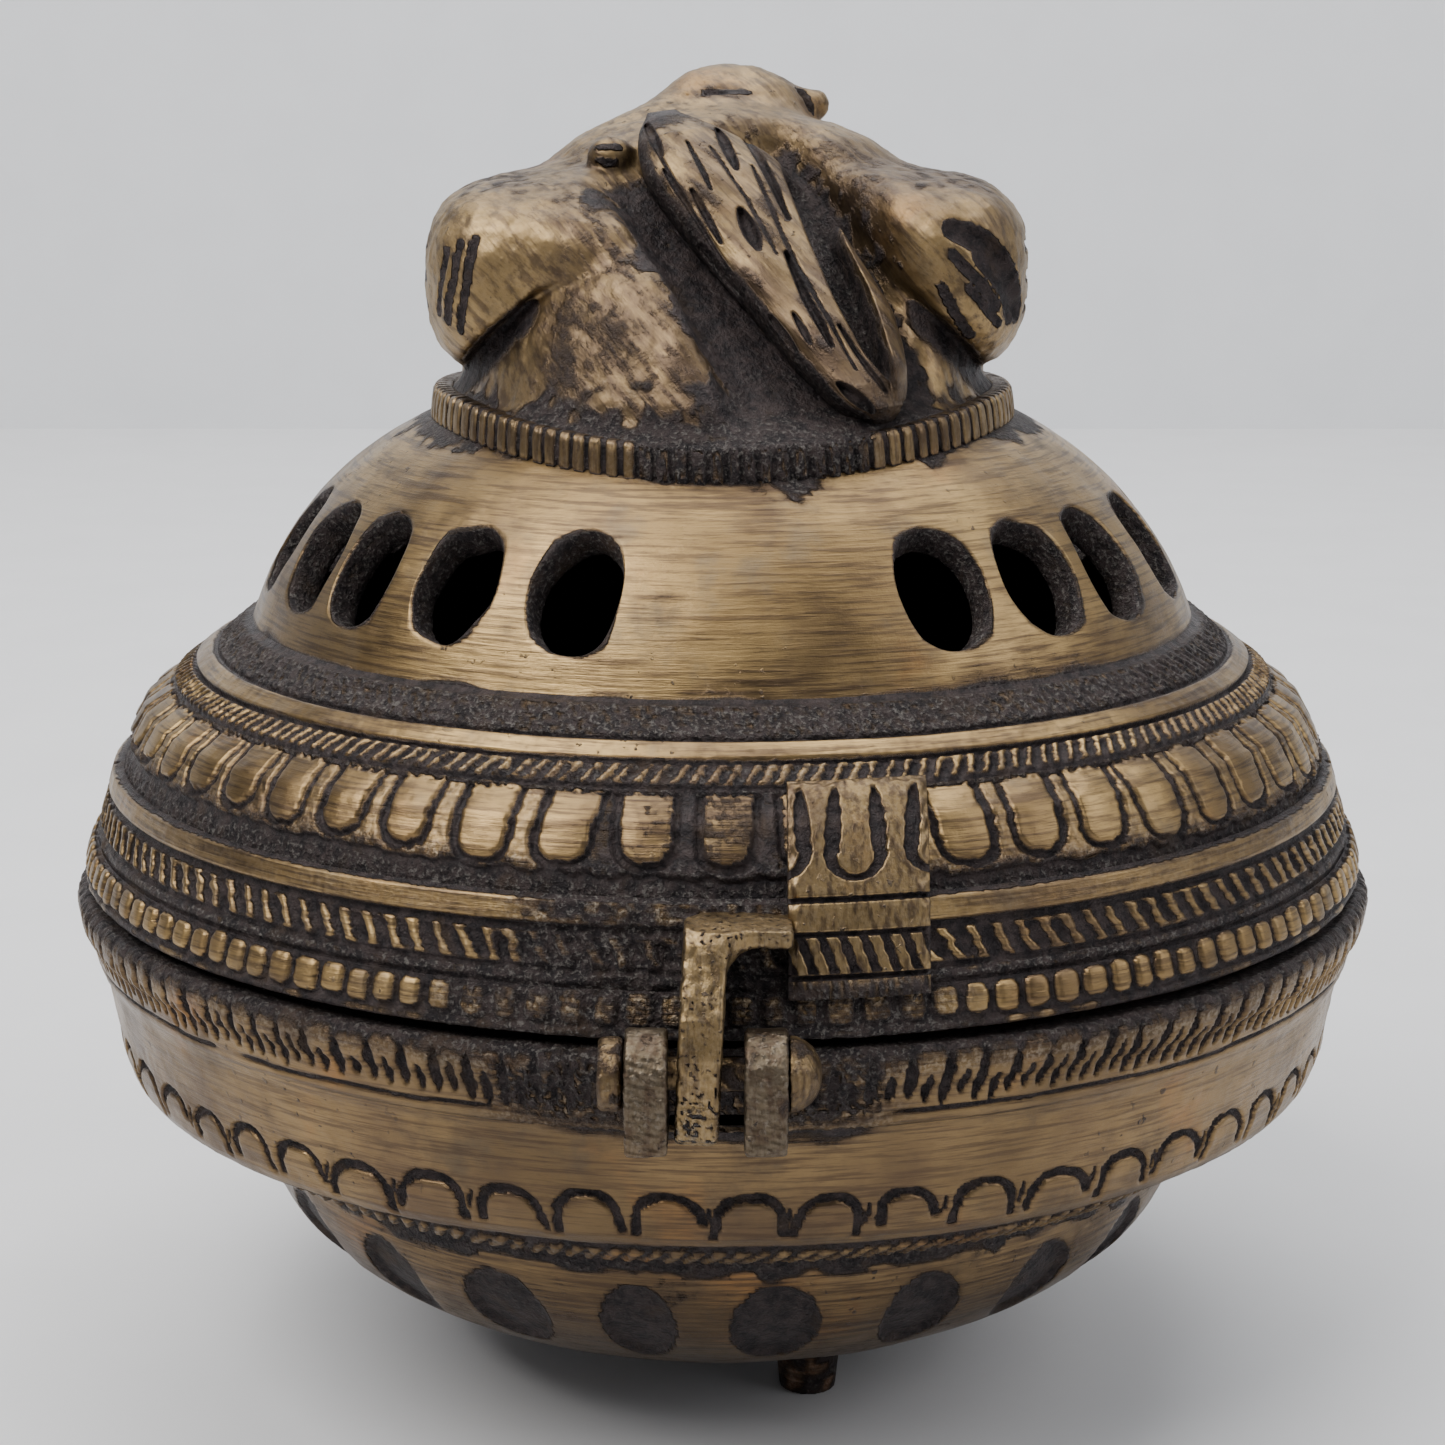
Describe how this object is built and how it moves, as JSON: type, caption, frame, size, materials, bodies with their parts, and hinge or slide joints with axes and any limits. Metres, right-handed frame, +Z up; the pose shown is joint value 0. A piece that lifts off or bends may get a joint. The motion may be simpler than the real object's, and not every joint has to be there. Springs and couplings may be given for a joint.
{
  "type": "thurible censer",
  "caption": "Round footed brass censer: banded bowl, hinged dome lid pierced for smoke and topped by a perched bird, pinned clasp and loose ember cup.",
  "frame": {"origin": "centre of the censer on the surface it stands on", "axes": "+Z up along the bowl's axis, -Y towards the hinge, +Y towards the clasp, +X to the right when the hinge faces the viewer"},
  "size_m": [0.1102, 0.1226, 0.1102],
  "materials": {
    "cast_brass": "aged cast brass with dark patina in the recesses",
    "worn_brass": "worn brass, brushed by handling",
    "pale_brass": "filed pale brass, greyed",
    "sooty_brass": "brass darkened by heat and soot"
  },
  "bodies": {
    "bowl_body": {"bowl": "cast_brass", "foot_1": "cast_brass", "foot_2": "cast_brass", "foot_3": "cast_brass", "hinge_ear_left": "pale_brass", "hinge_ear_right": "pale_brass", "hinge_pin": "pale_brass", "clasp_ear_left": "pale_brass", "clasp_ear_right": "pale_brass"},
    "lid_body": {"lid": "cast_brass", "hinge_leaf": "worn_brass", "clasp_tongue": "worn_brass", "collar_ring": "worn_brass", "bird": "cast_brass"},
    "clasp_pin_body": {"clasp_pin": "pale_brass"},
    "cup_body": {"ember_cup": "sooty_brass"}
  },
  "joints": [
    {"name": "lid_hinge", "type": "hinge", "parent": "bowl_body", "child": "lid_body", "pos_m": [0, -0.0582, 0.0424], "axis": [1, 0, 0], "range_deg": [0, 100]},
    {"name": "clasp_pin_slide", "type": "slide", "parent": "bowl_body", "child": "clasp_pin_body", "axis": [-1, 0, 0], "range_m": [0, 0.0064]},
    {"name": "cup_lift", "type": "slide", "parent": "bowl_body", "child": "cup_body", "axis": [0, 0, 1], "range_m": [0, 0.02]}
  ]
}
